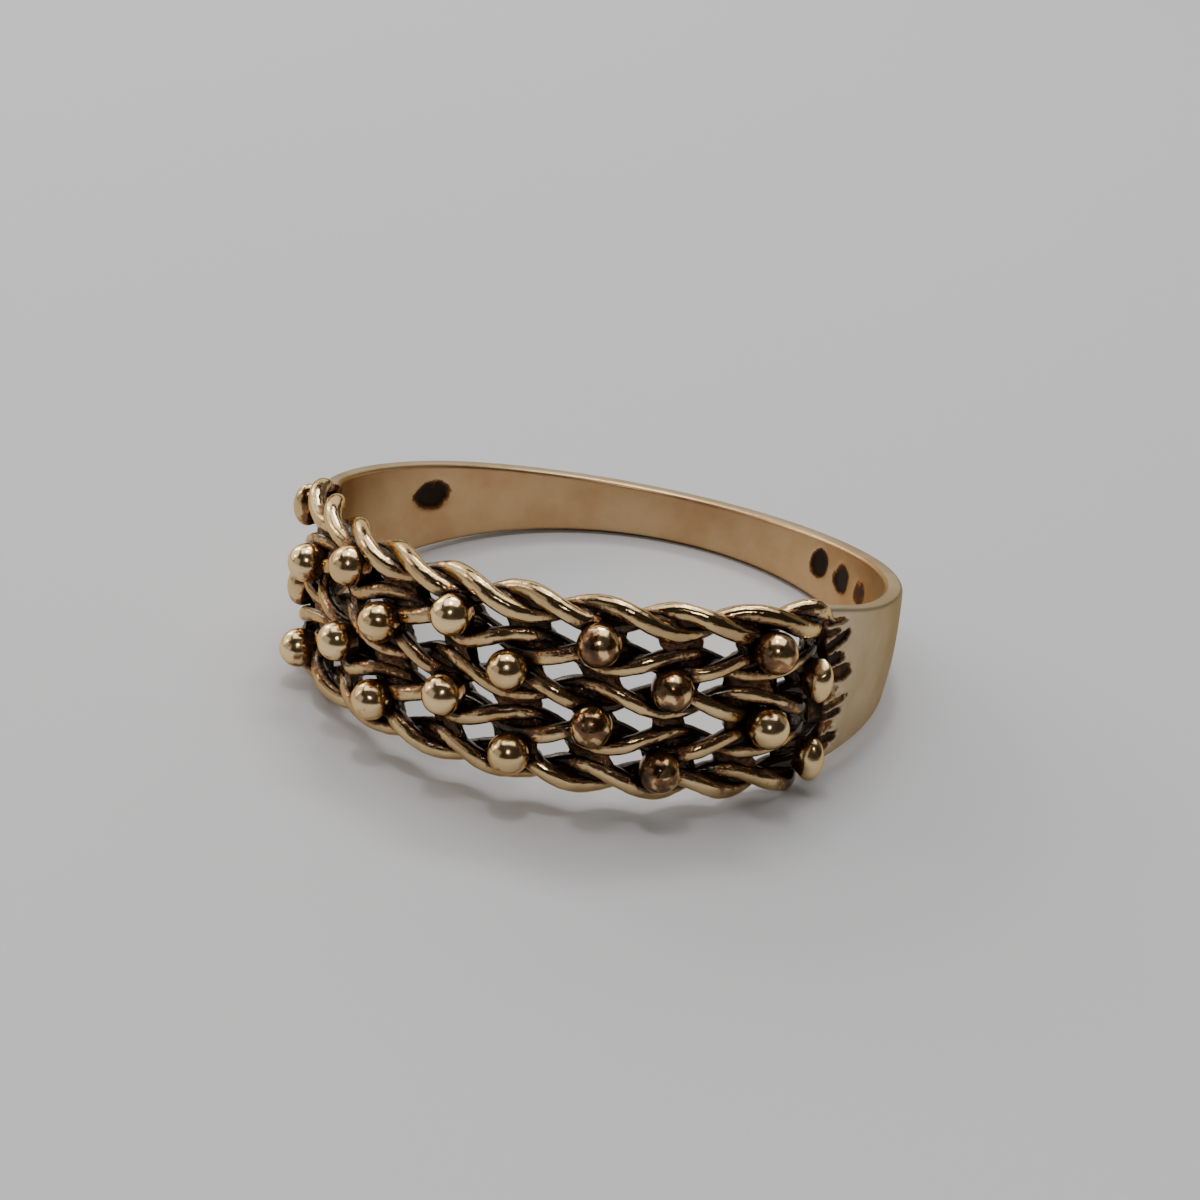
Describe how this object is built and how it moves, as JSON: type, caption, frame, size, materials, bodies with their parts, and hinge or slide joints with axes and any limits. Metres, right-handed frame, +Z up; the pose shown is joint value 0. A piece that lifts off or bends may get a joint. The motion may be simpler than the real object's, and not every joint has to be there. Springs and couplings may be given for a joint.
{
  "type": "keeper ring",
  "caption": "Broad finger ring with a pierced front of twisted wire ropes and round beads, and a plain band that narrows to the back.",
  "frame": {"origin": "centre of the bounding box's base, on the floor that the ring lies on", "axes": "-Y towards the middle of the roped front, +Y towards the narrow back, +Z up, with the finger hole's axis leaning about 8 degrees from +Z towards +Y"},
  "size_m": [0.02, 0.0212, 0.0069],
  "materials": {
    "gold": "worn polish, dark tarnish in the recesses"
  },
  "bodies": {
    "root": {"keeper_ring": "gold"}
  },
  "joints": []
}
